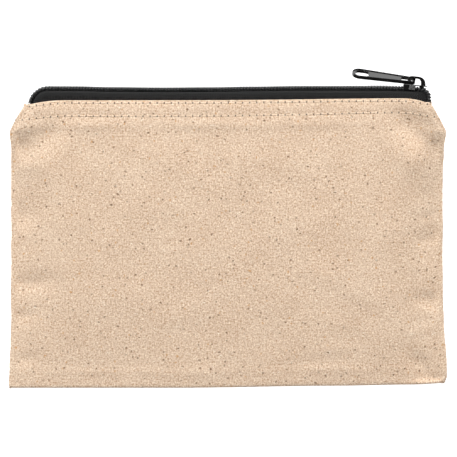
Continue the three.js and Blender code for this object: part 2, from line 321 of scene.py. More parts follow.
# Unbleached plain-weave canvas. The map "cloth" runs in millimetres along and down the cloth,
# and the map "rows" says how far each place is from the two rows of stitching.
def canvasMaterial(name):
    material, tree, shader = newMaterial(name, Roughness=0.92, Sheen_Weight=0.12, Sheen_Roughness=0.6)
    shader.inputs["Specular IOR Level"].default_value = 0.25
    cloth = node(tree, "UVMap", uv_map="cloth").outputs[0]
    parts = node(tree, "SeparateXYZ")
    feed(tree, parts.inputs[0], cloth)
    weave = plainWeave(tree, cloth, parts)
    # Tone from random slubs, grain and clouds, which the cloth has, and from the weave, whose share is
    # painted highlight and shade.
    shares = (
        (mottle(tree, stretched(tree, cloth, 0.35, 2.1), 1.0, 2), clothLook["weftShare"]),
        (mottle(tree, stretched(tree, cloth, 2.1, 0.3), 1.0, 2), clothLook["warpShare"]),
        (mottle(tree, cloth, 1.2, 3, 0.8), clothLook["grainShare"]),
        (mottle(tree, cloth, 0.05, 3), clothLook["cloudShare"]),
        (weave, clothLook["weaveShadeShare"]),
    )
    tone = 0.0
    for pattern, share in shares:
        tone = maths(tree, "MULTIPLY_ADD", pattern, share, tone)
    lightness = remap(tree, tone, clothLook["darkAt"], clothLook["lightAt"])
    colour = mixed(tree, lightness, clothLook["shadow"], clothLook["light"])
    colour = shadeNeedleHoles(tree, parts, specked(tree, cloth, colour))
    feed(tree, shader.inputs["Base Color"], colour)
    height = maths(tree, "MULTIPLY_ADD", weave, 0.8, maths(tree, "MULTIPLY", tone, 0.22))
    bumped(tree, shader, height, 0.8, clothLook["relief"])
    return material


# Sewing thread, spun: fine light and dark plies along each piece.
def threadMaterial(name, colour, dark, roughness=0.75):
    material, tree, shader = newMaterial(name, Roughness=roughness, Sheen_Weight=0.1)
    place = node(tree, "TexCoord").outputs["Object"]
    plies = mottle(tree, place, 4200, 2)
    feed(tree, shader.inputs["Base Color"], mixed(tree, remap(tree, plies, 0.35, 0.65), dark, colour))
    bumped(tree, shader, plies, 0.5, 0.00005)
    return material


tapeWeave = {
    "dark": 0.001,
    "light": 0.026,
    "darkAt": 0.25,
    "lightAt": 0.85,
    "twill": 5.2,           # radians to a millimetre, as are the next two
    "ribs": 7.85,
    "ticks": 4.19,
    "tickRow": (6.4, 6.9, 8.1, 8.6),    # where the dark ticks beside the hem start and stop
    "relief": 0.00012,
}


# Woven zip tape: ribs along it, a chevron between them, and darker knots beside the hem.
def tapeMaterial(name):
    material, tree, shader = newMaterial(name, Roughness=0.85)
    shader.inputs["Specular IOR Level"].default_value = 0.2
    tape = node(tree, "UVMap", uv_map="cloth").outputs[0]
    parts = node(tree, "SeparateXYZ")
    feed(tree, parts.inputs[0], tape)
    zigzag = maths(tree, "ADD", parts.outputs[0], maths(tree, "PINGPONG", parts.outputs[1], 0.8))
    twill = wave(tree, zigzag, tapeWeave["twill"])
    ribs = wave(tree, parts.outputs[1], tapeWeave["ribs"])
    ticks = wave(tree, parts.outputs[0], tapeWeave["ticks"])
    start, full, fading, end = tapeWeave["tickRow"]
    beside = maths(tree, "MULTIPLY", remap(tree, parts.outputs[1], start, full),
                   remap(tree, parts.outputs[1], end, fading))
    ticked = maths(tree, "MULTIPLY", remap(tree, ticks, 0.1, 0.7), beside)
    fuzz = mottle(tree, tape, 1.3, 3, 0.75)
    tone = maths(tree, "ADD", maths(tree, "MULTIPLY", twill, 0.3), maths(tree, "MULTIPLY", ribs, 0.14))
    tone = maths(tree, "ADD", tone, fuzz)
    lightness = remap(tree, tone, tapeWeave["darkAt"], tapeWeave["lightAt"])
    colour = mixed(tree, lightness, grey(tapeWeave["dark"]), grey(tapeWeave["light"]))
    colour = mixed(tree, ticked, colour, grey(0.002))
    feed(tree, shader.inputs["Base Color"], colour)
    bumped(tree, shader, tone, 0.6, tapeWeave["relief"])
    return material


# Coil nylon: black and half glossy, with worn patches.
def nylonMaterial(name):
    material, tree, shader = newMaterial(name, Roughness=0.34)
    wear = mottle(tree, node(tree, "TexCoord").outputs["Object"], 900, 2)
    feed(tree, shader.inputs["Base Color"], mixed(tree, wear, grey(0.005), grey(0.016)))
    feed(tree, shader.inputs["Roughness"], remap(tree, wear, 0.3, 0.7, 0.3, 0.42))
    return material


# Black enamel over a casting: nearly smooth, browner in places where it ran thin.
def enamelMaterial(name):
    material, tree, shader = newMaterial(name, Coat_Weight=0.2, Coat_Roughness=0.06, IOR=1.5)
    place = node(tree, "TexCoord").outputs["Object"]
    flow = mottle(tree, place, 350, 3)
    fine = mottle(tree, place, 2600, 2)
    colour = mixed(tree, flow, (0.0012, 0.0012, 0.0012, 1), (0.004, 0.0034, 0.003, 1))
    feed(tree, shader.inputs["Base Color"], colour)
    feed(tree, shader.inputs["Roughness"], remap(tree, fine, 0.3, 0.7, 0.1, 0.2))
    bumped(tree, shader, maths(tree, "MULTIPLY_ADD", fine, 0.25, flow), 0.12, 0.0001)
    return material


canvas = canvasMaterial("unbleached canvas")
creamThread = threadMaterial("cream sewing thread", (0.98, 0.83, 0.65, 1), (0.72, 0.55, 0.39, 1))
blackThread = threadMaterial("black sewing thread", grey(0.012), grey(0.004), 0.7)
tapeCloth = tapeMaterial("charcoal zip tape")
nylon = nylonMaterial("black coil nylon")
enamel = enamelMaterial("black enamel")
print("materials made")

# The bag seen flat: stations for its edges, (place, how far off the plain edge).
outline = {
    "left": [(-72, 0.5), (-60, 0.3), (-46, -0.5), (24, -0.6), (46, -0.8), (55, 0.1), (80, 0.0)],
    "right": [(-72, 0.0), (-62, 0.1), (-40, -1.2), (-25, -1.9), (30, -2.0), (47, -1.5), (56, -0.2),
              (80, 0.3)],
    "bottom": [(-109, -0.6), (-20, -0.6), (40, 0.4), (80, 1.0), (109, 1.8)],
    "hem": [(-62, -0.9), (-14, -0.85), (80, 0.1), (101, 0.15)],
    "leftCorner": 1.0,
    "rightCorner": 3.2,
    "bow": 0.25,            # how far the slanted corners bow outwards
    "leftFall": (1.9, -78, 22, 1.6),        # how the hem falls near its end: how far, from where,
    "rightFall": (1.85, 84, 16, 1.5),       # over what width, how sharply
    "flutter": [(0.25, 40, 9, 3.1), (0.12, 70, 3.2, 8.4)],      # amount, place, size, seed
}


def bottomEdge(x):
    return bag["bottom"] + through(x, outline["bottom"])


def endFall(side, x):
    most, start, width, power = outline["leftFall" if side < 0 else "rightFall"]
    return most * clamp(side * (x - start) / width) ** power


def hemEdge(x):
    return bag["hem"] + through(x, outline["hem"]) - endFall(-1, x) - endFall(1, x)


def sideEdge(side, y):
    t = clamp((y - bag["ear"]) / (bag["hemEnd"] - bag["ear"]))
    plain = lerp(bag["halfWidth"], bag["hemHalf"], t) + outline["bow"] * 4 * t * (1 - t)
    swing = through(y, outline["left" if side < 0 else "right"])
    flutter = sum(most * ripple(side * at, y, size, seed) for most, at, size, seed in outline["flutter"])
    corner = outline["leftCorner" if side < 0 else "rightCorner"]
    below = clamp(corner - (y - bottomEdge(side * bag["halfWidth"])), 0, corner)
    cut = corner - math.sqrt(corner ** 2 - below ** 2)
    return plain + swing + flutter - cut


def seamLevel(y):
    return lerp(bag["seamLevel"], bag["zipMiddle"], smooth(y, bag["partsFrom"], bag["hem"]))


def seamHalf(y):
    return lerp(bag["seamHalf"], bag["mouthSeamHalf"], smooth(y, bag["ear"], bag["hem"]))


def rise(inside, y):
    reach = lerp(*bag["slopes"], smooth(y, 0, bag["hem"]))
    return 1 - (1 - clamp(inside / reach)) ** bag["slopePower"]


def frontDepth(y):
    t = clamp((y - bag["bottom"]) / (bag["hem"] - bag["bottom"]))
    return lerp(bag["depthAtBottom"], bag["depth"], 1 - (1 - t) ** 1.4)


def backDepth(y):
    return bag["backDepth"] * smooth(y, 40, 58)


stitching = {
    "pitch": 3.5,
    "first": 1.35,
    "second": [(-100, 7.6), (-88, 7.7), (-40, 7.9), (35, 7.6), (85, 7.0), (100, 7.2)],
    "radius": 0.17,
    "proud": 0.12,
    "buried": -0.32,        # where the thread goes down into the cloth
    "fromSide": 1.6,
}


def rowBelow(row, x):
    return stitching["first"] if row == 0 else through(x, stitching["second"])


# Creases and puckers of the front: x, y, turn in degrees, half length, half width, height.
frontCreases = [
    (-101, 49, 8, 8.5, 7.6, -1.25), (-89, 54, 50, 7, 4.5, -0.46), (-99, 38.5, 14, 10, 4.0, 0.24),
    (-79, 49, 50, 9, 4.0, 0.2), (-104.5, 54, 50, 3, 0.9, -0.2), (-103, 58, 60, 5, 1.6, 0.2),
    (95, 52.4, -42, 16, 5.8, -1.45), (98, 58.5, -40, 7, 3.2, -0.5), (88, 42, -40, 15, 6.0, 0.4),
    (87, 63, -40, 6, 3.0, -0.1),
    (-101, 15, 8, 9, 5.0, -0.5), (-98, -19.5, 0, 14, 5.0, -0.6), (-102, -36, 5, 7, 3.5, -0.28),
    (-102, -57, 0, 8, 3.5, -0.22), (-101, 4, 6, 9, 2.4, 0.12),
    (100, 3, 8, 9, 4.5, -0.38), (99, 14, 10, 10, 2.4, -0.18), (99, -28, -5, 9, 5.0, -0.5),
    (95, -60, -50, 9, 5.0, -0.75), (97, -12, 0, 10, 2.6, 0.15), (99, -42, 12, 9, 2.4, 0.17),
    (45, -58, 6, 15, 2.4, -0.14), (48, -52, 6, 16, 3.0, 0.1), (46, -15, -12, 14, 5.0, 0.15),
    (66, -27, -20, 10, 3.5, 0.15), (-36, 22, -30, 26, 4.5, 0.12), (-62, 12, 70, 22, 5, -0.1),
    (10, 8, 60, 26, 6, -0.1), (-20, -34, 24, 26, 5, 0.1), (72, 12, 74, 20, 5, -0.12),
    (101, -73, -5, 10, 5.5, -1.7), (-100, -66, 20, 8, 2.6, -0.12), (20, 40, -8, 30, 5, 0.1),
]
creaseScale = 2.2


def creaseHeight(creases, x, y):
    total = 0.0
    for cx, cy, turn, long, wide, height in creases:
        dx, dy = x - cx, y - cy
        if abs(dx) + abs(dy) > 3 * (long + wide):
            continue
        c, s = math.cos(math.radians(turn)), math.sin(math.radians(turn))
        total += height * math.exp(-((dx * c + dy * s) / long) ** 2 - ((dy * c - dx * s) / wide) ** 2)
    return total * creaseScale


clothShape = {
    "waves": 0.45,          # unevenness of the slack cloth: wide, middling and fine
    "dents": 0.2,
    "grain": 0.05,
    "band": 0.14,           # the hem's plies under the cloth
    "ridge": 0.42,          # the fold that stands below the hem
    "ridgeDown": 12.4,
    "puff": 0.14,           # between the two rows of stitches
    "channel": 0.2,         # how deep the stitches pull in
    "gather": 0.16,
    "sidePull": 0.32,       # puckers beside the side seams
    "edgeStep": -0.12,      # where the allowance inside the side seams ends
}


# Unevenness of the cloth: the sewn band, its stitched channels, side puckers and slack.
def clothHeight(face, x, y, inside, fromHem):
    fade = smooth(inside, 0.3, 6)
    waves = clothShape["waves"] * ripple(x, y, 21, 1.7 * face)
    dents = clothShape["dents"] * ripple(x, y, 8, 4.4 * face)
    grain = fade * clothShape["grain"] * ripple(x, y, 2.6, 9.2 * face)
    band = clothShape["band"] * smooth(-fromHem, -14, -8.6) * smooth(inside, 1, 4)
    ridge = clothShape["ridge"] * hill(fromHem, clothShape["ridgeDown"], 2.5)
    ridge *= (0.8 + 0.9 * ripple(x, 3, 26, 5.1)) * smooth(inside, 2, 8) * (1 - smooth(x, 72, 88))
    puff = clothShape["puff"] * hill(fromHem, 4.2, 2.2)
    drawnIn = clothShape["channel"] * (0.75 + 0.25 * math.cos(2 * math.pi * x / stitching["pitch"]))
    channels = sum(drawnIn * hill(fromHem, rowBelow(row, x), 0.7) for row in (0, 1))
    gather = clothShape["gather"] * hill(fromHem, 10, 3.5) * ripple(x, 0, 3.4, 2.2)
    sidePull = clothShape["sidePull"] * hill(inside, 7, 4.5)
    sidePull *= ripple(face * 30, y, 5.5, 6.0 + math.copysign(1, x))
    edgeStep = clothShape["edgeStep"] * smooth(inside, 8.2, 10.5) * (1 - smooth(y, 48, 62))
    creases = smooth(inside, 0, 3) * creaseHeight(frontCreases, x, y) if face > 0 else 0
    hemmed = band + ridge + puff - channels + gather
    return fade * (waves + dents) + grain + hemmed + sidePull + edgeStep + creases


panelMesh = {
    "halfColumns": 108,
    "bottomRows": 7,
    "plainCloth": 126,      # cloth below the finely divided band at the hem
    "plainRows": 112,
    "bandRows": 23,
    "bandRow": 0.68,
    "rollCloth": 2.4,       # cloth in the rolled edge
    "roll": 1.2,
    "mouthRoll": 2.2,
    "cornerRoll": 4.2,      # the softer corner at the right of the bottom
    "foldRadius": 0.66,
    "foldRows": 8,
    "under": 9.5,           # turned-in ply
    "underRows": 8,
    "underInset": 1.6,
    "thick": 0.55,
    "backLift": 0.21,       # how much of a hollow lifts the back off the floor
    "offFloor": 0.02,
}


# A rolled edge seen from its seam: how far in from the outline, and how high up the side.
def rolledEdge(along, radius):
    t = clamp(along / panelMesh["rollCloth"])
    angle = math.radians(lerp(-40, 90, t))
    inside = radius * (1 - math.cos(angle)) + max(0, along - panelMesh["rollCloth"])
    return inside, clamp(0.39 + 0.61 * math.sin(angle))


def rollRadius(y):
    return lerp(panelMesh["roll"], panelMesh["mouthRoll"], smooth(y, 50, 68))


# Every row of a panel, from the bottom seam over the fold to the raw edge inside: (zone, place).
def panelRows():
    rolled, plain, bottomRows = (panelMesh[k] for k in ("rollCloth", "plainCloth", "bottomRows"))
    roll = [("face", rolled * i / bottomRows * 0.999) for i in range(bottomRows)]
    body = [("face", rolled + (plain - rolled) * i / panelMesh["plainRows"])
            for i in range(panelMesh["plainRows"])]
    band = [("face", plain + i * panelMesh["bandRow"]) for i in range(panelMesh["bandRows"] + 1)]
    fold = [("fold", (i + 0.5) / panelMesh["foldRows"]) for i in range(panelMesh["foldRows"])]
    under = [("under", panelMesh["under"] * i / (panelMesh["underRows"] - 1))
             for i in range(panelMesh["underRows"])]
    return roll + body + band + fold + under


faceCloth = panelMesh["plainCloth"] + panelMesh["bandRows"] * panelMesh["bandRow"]


# One place on a panel: where it is, where on the cloth, and how far below each row of stitches.
# face is 1 for the front and -1 for the back.
def panelPlace(face, across, zone, place):
    side = -1 if across < 0 else 1
    radius = panelMesh["foldRadius"]
    roughX = across * bag["halfWidth"]
    top, bottom = hemEdge(clamp(roughX, -100, 100)), bottomEdge(roughX)
    bottomRoll = lerp(panelMesh["roll"], panelMesh["cornerRoll"], smooth(roughX, 88, 105))
    low, lowLift = rolledEdge(place, bottomRoll) if zone == "face" else (200, 1)
    faceTop = top - radius
    if zone == "face":
        reach = rolledEdge(faceCloth, bottomRoll)[0]
        y = bottom + low * (faceTop - bottom) / reach
    elif zone == "fold":
        y = faceTop + radius * math.sin(math.pi * place)
    else:
        y = faceTop - place
    along = (1 - abs(across)) ** 1.35 * bag["halfWidth"]
    rollWide = rollRadius(y)
    inside, lift = rolledEdge(along, rollWide)
    if zone == "under":
        inside += panelMesh["underInset"] * smooth(place, -0.5, 0.8)
    half = sideEdge(side, y)
    widest = rolledEdge(bag["halfWidth"], rollWide)[0]
    x = side * max(0, half - inside * half / widest)
    inSide = max(0, inside - rollWide)
    level = seamLevel(y)
    halfDeep = seamHalf(y)
    crown = rise(inSide, y)
    fromHem = hemEdge(x) - y
    slack = clothHeight(face, x, y, min(inSide, low), fromHem)
    if face > 0:
        edgeZ = level + halfDeep * lift * lowLift
        z = lerp(edgeZ, frontDepth(y), crown * smooth(low, 0, 3)) + slack * smooth(low, 0, 3)
    else:
        edgeZ = level - halfDeep * lift * lowLift
        z = lerp(edgeZ, backDepth(y), crown * smooth(low, 0, 3))
        z = max(panelMesh["offFloor"], z + panelMesh["backLift"] * max(0, -slack))
    if zone == "fold":
        z -= face * radius * (1 - math.cos(math.pi * place))
    elif zone == "under":
        z -= face * 2 * radius
    clothDown = {"face": faceCloth - place, "fold": -2 * place, "under": -2 - place}[zone]
    rowPlace = (fromHem - rowBelow(0, x), fromHem - rowBelow(1, x)) if zone == "face" else (50, 50)
    return (x, y, z), (x, clothDown), rowPlace


def panel(name, face, replaced):
    rows = panelRows()
    columns = 2 * panelMesh["halfColumns"]
    bm = bmesh.new()
    cloth = bm.loops.layers.uv.new("cloth")
    rowMap = bm.loops.layers.uv.new("rows")
    bmesh.ops.create_grid(bm, x_segments=columns, y_segments=len(rows) - 1, size=1)
    maps = {}
    for vert in bm.verts:
        zone, place = rows[round((vert.co.y + 1) / 2 * (len(rows) - 1))]
        vert.co, clothPlace, rowPlace = panelPlace(face, vert.co.x, zone, place)
        maps[vert] = clothPlace, rowPlace
    for f in bm.faces:
        for loop in f.loops:
            loop[cloth].uv, loop[rowMap].uv = maps[loop.vert]
    if face < 0:
        bmesh.ops.reverse_faces(bm, faces=bm.faces)
    piece = finishPiece(bm, name, canvas, "pouch", replaced)
    wall = piece.modifiers.new("ply", "SOLIDIFY")
    wall.thickness = panelMesh["thick"] * mm
    wall.offset = -1
    return piece


frontPanel = panel("canvasFront", 1, ["front_panel"])
backPanel = panel("canvasBack", -1, ["back_panel"])
print("canvas panels made")


# The face of a panel as a formula, for what lies against it.
def panelSurface(face, x, y):
    side = -1 if x < 0 else 1
    inside = max(0, sideEdge(side, y) - abs(x) - rollRadius(y))
    crown = rise(inside, y)
    level, half = seamLevel(y), seamHalf(y)
    slack = clothHeight(face, x, y, inside, hemEdge(x) - y)
    if face > 0:
        return lerp(level + half, frontDepth(y), crown) + slack
    z = lerp(level - half, backDepth(y), crown)
    return max(panelMesh["offFloor"], z + panelMesh["backLift"] * max(0, -slack))


# The outer surface of each panel, to lay the stitches on.
def outerSurface(piece):
    mesh = piece.data
    return BVHTree.FromPolygons([v.co / mm for v in mesh.vertices], [p.vertices for p in mesh.polygons])


surfaces = {1: outerSurface(frontPanel), -1: outerSurface(backPanel)}


def onSurface(face, x, y):
    found = surfaces[face].ray_cast(Vector((x, y, 60 * face)), Vector((0, 0, -face)))[0]
    return found.z if found else panelSurface(face, x, y)


# Sewing along routes, as one finished piece.
def sewn(name, routes, radius, material, replaced, sides=6):
    putOut(threadMesh(name, routes, radius, sides), name, material, "pouch", [replaced])


def topStitch(name, face, row, replaced):
    pitch, proud = stitching["pitch"], stitching["proud"]
    oneStitch = ((0, stitching["buried"], 0), (0.5, proud * 0.7, 0.05),
                 (1.75, proud, 0.1), (3.0, proud * 0.7, 0.05))
    count = int(bag["halfWidth"] / pitch)
    route = []
    for i in range(-count, count + 1):
        for ahead, height, sway in oneStitch:
            x = i * pitch + ahead
            y = hemEdge(x) - rowBelow(row, x) + sway
            if abs(x) > sideEdge(1 if x > 0 else -1, y) - stitching["fromSide"]:
                continue
            route.append((x, y, onSurface(face, x, y) + face * height))
    sewn(name, [route], stitching["radius"], creamThread, replaced)


topStitch("edgeStitchFront", 1, 0, "topstitch_front_edge")
topStitch("lowerStitchFront", 1, 1, "topstitch_front_lower")
topStitch("edgeStitchBack", -1, 0, "topstitch_back_edge")
topStitch("lowerStitchBack", -1, 1, "topstitch_back_lower")
print("topstitching made")

# The line that the zip's chain follows along the mouth, and down at its two ends.
chain = {
    "level": 74.9,
    "leftBend": -88.7,
    "leftRadius": 7.7,
    "leftTurn": 85,
    "rightBend": 94.8,
    "rightRadius": 2.7,
    "rightTurn": 84,
    "rightTail": 4.0,
    "leanFrom": 85,
    "lean": 3,
    "lift": [(-88.5, 0.2), (-76, 0.15), (-58, -0.25), (-32, -0.45), (-8, -0.3), (12, 0), (35, 0.3),
             (76, 0.3), (86, 0.05), (95, 0)],
    "spread": 1.3,
    "spreadFrom": (89.5, 94),
    "closing": 0.85,
    "closingFrom": (95.6, 99),
}


def chainLevel(x):
    slope = math.tan(math.radians(chain["lean"]))
    run = max(0, x - chain["leanFrom"])
    fall = slope * run * run / 8 if run < 4 else slope * (run - 2)
    return chain["level"] + through(x, chain["lift"]) - fall


def chainLine():
    points = []
    radius, start = chain["leftRadius"], chainLevel(chain["leftBend"])
    for i in range(30):
        angle = math.radians(chain["leftTurn"] * (1 - i / 30))
        points.append((chain["leftBend"] - radius * math.sin(angle),
                       start - radius * (1 - math.cos(angle))))
    x = chain["leftBend"]
    while x < chain["rightBend"]:
        points.append((x, chainLevel(x)))
        x += 0.5
    radius, start = chain["rightRadius"], chainLevel(chain["rightBend"])
    for i in range(25):
        angle = math.radians(chain["rightTurn"] * i / 24)
        points.append((chain["rightBend"] + radius * math.sin(angle),
                       start - radius * (1 - math.cos(angle))))
    x, y = points[-1]
    points += [(x + 0.02 * i, y - chain["rightTail"] * i / 4) for i in range(1, 5)]
    lengths = [0]
    for (x0, y0), (x1, y1) in zip(points, points[1:]):
        lengths.append(lengths[-1] + math.hypot(x1 - x0, y1 - y0))
    return points, lengths


chainPoints, chainLengths = chainLine()
chainLength = chainLengths[-1]


# A place on the chain: (x, y), and the way off the tape's face there.
def onChain(along):
    along = clamp(along, 0, chainLength)
    low, top = 0, len(chainLengths) - 1
    while top - low > 1:
        between = (low + top) // 2
        if chainLengths[between] > along:
            top = between
        else:
            low = between
    (x0, y0), (x1, y1) = chainPoints[low], chainPoints[top]
    t = (along - chainLengths[low]) / (chainLengths[top] - chainLengths[low])
    x, y = lerp(x0, x1, t), lerp(y0, y1, t)
    before, after = chainPoints[max(0, low - 1)], chainPoints[min(len(chainPoints) - 1, top + 1)]
    dx, dy = after[0] - before[0], after[1] - before[1]
    size = math.hypot(dx, dy)
    return (x, y), (-dy / size, dx / size)


# How far each half of the zip moves out at the slider's mouth, before it nearly closes again.
def chainSpread(x):
    closing = 1 - chain["closing"] * smooth(x, *chain["closingFrom"])
    return chain["spread"] * smooth(x, *chain["spreadFrom"]) * closing


tapeLook = {
    "thick": 0.45,
    "innerEdge": 0.7,
    "bend": 1.3,
    "underHem": 9.3,
    "hemDeep": 1.32,        # the hem's own plies
    "clear": 0.2,
    "least": 1.6,           # nearest that a leg comes to the middle of the zip
    "columns": 190,
    "flatRows": 6,
    "bendRows": 6,
    "legRows": 9,
}


# How far from the middle of the zip the tape lies, against the inside of the hem.
def insideHem(face, x, y):
    out = face * (panelSurface(face, x, y) - bag["zipMiddle"])
    out -= tapeLook["hemDeep"] + tapeLook["clear"] + tapeLook["thick"] / 2
    return max(out, tapeLook["least"])


# Half of the zip tape: flat beside the coil, over the shoulder, and down inside the hem.
def zipTape(name, face, replaced):
    flat, bend, leg = tapeLook["flatRows"], tapeLook["bendRows"], tapeLook["legRows"]
    rows = flat + bend + leg
    bm = bmesh.new()
    cloth = bm.loops.layers.uv.new("cloth")
    bmesh.ops.create_grid(bm, x_segments=tapeLook["columns"], y_segments=rows, size=1)
    maps = {}
    radius = tapeLook["bend"]
    for vert in bm.verts:
        along = (vert.co.x + 1) / 2 * chainLength
        row = round((vert.co.y + 1) / 2 * rows)
        (x, y), (nx, ny) = onChain(along)
        hemY, spread = hemEdge(x), chainSpread(x)
        legOut = insideHem(face, x, hemY - 3)
        bendStart = max(legOut - radius, tapeLook["innerEdge"] + 0.2)
        if row <= flat:
            out = lerp(tapeLook["innerEdge"], bendStart, row / flat) + spread
            out = min(out, legOut - 0.05 * (flat - row))
            across = lerp(0, bendStart, row / flat)
        elif row <= flat + bend:
            angle = math.pi / 2 * (row - flat) / bend
            x -= nx * radius * (1 - math.cos(angle))
            y -= ny * radius * (1 - math.cos(angle))
            out = max(min(bendStart + spread, legOut), bendStart + (legOut - bendStart) * math.sin(angle))
            across = bendStart + radius * angle
        else:
            t = (row - flat - bend) / leg
            x, start = x - nx * radius, y - ny * radius
            y = lerp(start, min(hemY - tapeLook["underHem"], start - 1), t)
            out = lerp(legOut, insideHem(face, x, min(y, hemY - 2)), smooth(t, 0, 0.5))
            across = bendStart + radius * 1.57 + (start - y)
        maps[vert] = (along, across)
        vert.co = (x, y, bag["zipMiddle"] + face * out)
    for f in bm.faces:
        for loop in f.loops:
            loop[cloth].uv = maps[loop.vert]
    if face > 0:
        bmesh.ops.reverse_faces(bm, faces=bm.faces)
    piece = finishPiece(bm, name, tapeCloth, "pouch", [replaced])
    wall = piece.modifiers.new("weave depth", "SOLIDIFY")
    wall.thickness = tapeLook["thick"] * mm
    wall.offset = 0
    return piece


tapeFront = zipTape("zipTapeFront", 1, "zip_tape_front")
tapeBack = zipTape("zipTapeBack", -1, "zip_tape_back")

coilLook = {
    "start": 0.35,
    "pitch": 1.5,
    "wire": 0.34,
    "tip": -0.2,
    "heel": 2.56,
    "low": 0.54,
    "high": 2.36,
    "advance": 0.28,        # how far a turn moves on at the tooth
    "cord": 0.58,
    "bed": 0.4,             # the cord's bed on the tape
    "cordOut": 1.35,
    "sewnAt": (1.0, 1.8),
    "sewnOver": 0.32,       # height of the stitches over the turns
    "sewnDown": 0.35,       # how far they go down between two turns
    "sewnThread": 0.15,
}


# Where the turns start along the chain: a pitch apart at the coil's own height, round the bends too.
# The turns at the back start half a pitch later than those at the front.
def coilStations(face):
    stations = [coilLook["start"] if face > 0 else coilLook["start"] + coilLook["pitch"] / 2]
    while stations[-1] < chainLength - 0.6:
        (ax, ay), (bx, by) = onChain(stations[-1])[1], onChain(stations[-1] + 0.3)[1]
        curving = math.atan2(ax * by - ay * bx, ax * bx + ay * by) / -0.3
        stations.append(stations[-1] + coilLook["pitch"] / (1 + 1.6 * max(0, curving)))
    return stations[:-1] if stations[-1] > chainLength else stations


# A place beside the chain: along it, out from the middle of the zip, and off the tape's face.
def besideChain(face, along, out, height):
    (x, y), (nx, ny) = onChain(along)
    return (x + nx * height, y + ny * height, bag["zipMiddle"] + face * (out + chainSpread(x)))


# One half of the coil: a wire wound round a cord, with a tooth at the inner end of each turn.
def zipCoil(name, face, replaced):
    stations = coilStations(face)
    low, high, advance, pitch = (coilLook[k] for k in ("low", "high", "advance", "pitch"))
    middle = (low + high) / 2
    tip, heel = coilLook["tip"], coilLook["heel"]
    turn = [
        (0.0, heel - 0.35, high), (0.0, tip + 0.35, high), (0.05, tip, high - 0.25),
        (advance / 2, tip - 0.06, middle), (advance - 0.05, tip, low + 0.25), (advance, tip + 0.35, low),
        (advance, heel - 0.35, low), (advance + 0.15, heel, low + 0.25),
        (lerp(advance, pitch, 0.5), heel + 0.12, middle), (pitch - 0.15, heel, high - 0.25),
    ]
    wire = [
        besideChain(face, start + ahead * (end - start) / pitch, out, height)
        for start, end in zip(stations, stations[1:]) for ahead, out, height in turn
    ]
    whole, out = int(chainLength), coilLook["cordOut"]
    cordRoute = [besideChain(face, i, out, middle) for i in range(1, whole)]
    bedRoute = [besideChain(face, i, out, coilLook["bed"] + 0.2) for i in range(whole + 1)]
    bm = bmesh.new()
    for route, look in ((wire, "wire"), (cordRoute, "cord"), (bedRoute, "bed")):
        bm.from_mesh(threadMesh("part", [route], coilLook[look], 6))
    mesh = bpy.data.meshes.new(name)
    for f in bm.faces:
        f.smooth = True
    bm.to_mesh(mesh)
    bm.free()
    putOut(mesh, name, nylon, "pouch", [replaced])


zipCoil("zipCoilFront", 1, "zip_coil_front")
zipCoil("zipCoilBack", -1, "zip_coil_back")


# The two lines of stitches that hold each coil to its tape: over each turn, and down between two.
def coilSewing(name, face, replaced):
    stations = coilStations(face)[2:-2]
    over, down = coilLook["high"] + coilLook["sewnOver"], coilLook["high"] - coilLook["sewnDown"]
    routes = [
        [besideChain(face, lerp(start, end, ahead), out, height)
         for start, end in zip(stations, stations[1:]) for ahead, height in ((0, over), (0.5, down))]
        for out in coilLook["sewnAt"]
    ]
    sewn(name, routes, coilLook["sewnThread"], blackThread, replaced)


coilSewing("coilSewingFront", 1, "coil_stitching_front")
coilSewing("coilSewingBack", -1, "coil_stitching_back")
print("zip made")

# Seams and neatened edges inside the bag.
inner = {
    "threadInside": 1.9,    # how far the seam's thread lies inside the edge
    "beadInside": 9.1,      # the same for the overlocking
    "radius": 0.16,
    "step": 1.25,           # half a stitch of the seam
    "over": 0.22,
    "into": -0.05,
    "pitch": 2.2,           # from one turn of the overlocking to the next
    "beadWide": 0.55,
    "beadHigh": 0.62,
}


def seamThread(name, start, end, place, replaced):
    steps = int(abs(end - start) / inner["step"])
    route = []
    for i in range(steps + 1):
        x, y, z = place(lerp(start, end, i / steps))
        route.append((x, y, z + inner["over" if i % 2 else "into"]))
    sewn(name, [route], inner["radius"], creamThread, replaced, 4)


def overlocked(name, start, end, place, outwards, replaced):
    points = 8 * int(abs(end - start) / inner["pitch"])
    dx, dy = outwards
    route = []
    for i in range(points):
        angle = 2 * math.pi * i / 8
        x, y, z = place(lerp(start, end, i / points))
        wide = inner["beadWide"] * math.cos(angle)
        route.append((x + dx * wide, y + dy * wide, z + inner["beadHigh"] * math.sin(angle)))
    sewn(name, [route], inner["radius"], creamThread, replaced, 4)


def downSide(side, inside):
    return lambda y: (side * (sideEdge(side, y) - inside), y, seamLevel(y))


def alongBottom(inside):
    return lambda x: (x, bottomEdge(x) + inside, bag["seamLevel"])


for label, side in (("Left", -1), ("Right", 1)):
    seamThread("seamThread" + label, bag["bottom"] + 4, bag["ear"] - 3,
               downSide(side, inner["threadInside"]), "seam_thread_" + label.lower())
    overlocked("overlock" + label, bag["bottom"] + 11, bag["ear"] - 3,
               downSide(side, inner["beadInside"]), (side, 0), "overlock_" + label.lower())
seamThread("seamThreadBottom", -97, 97, alongBottom(inner["threadInside"]), "seam_thread_bottom")
overlocked("overlockBottom", -95, 95, alongBottom(inner["beadInside"]), (0, 1), "overlock_bottom")
print("inner seams made")

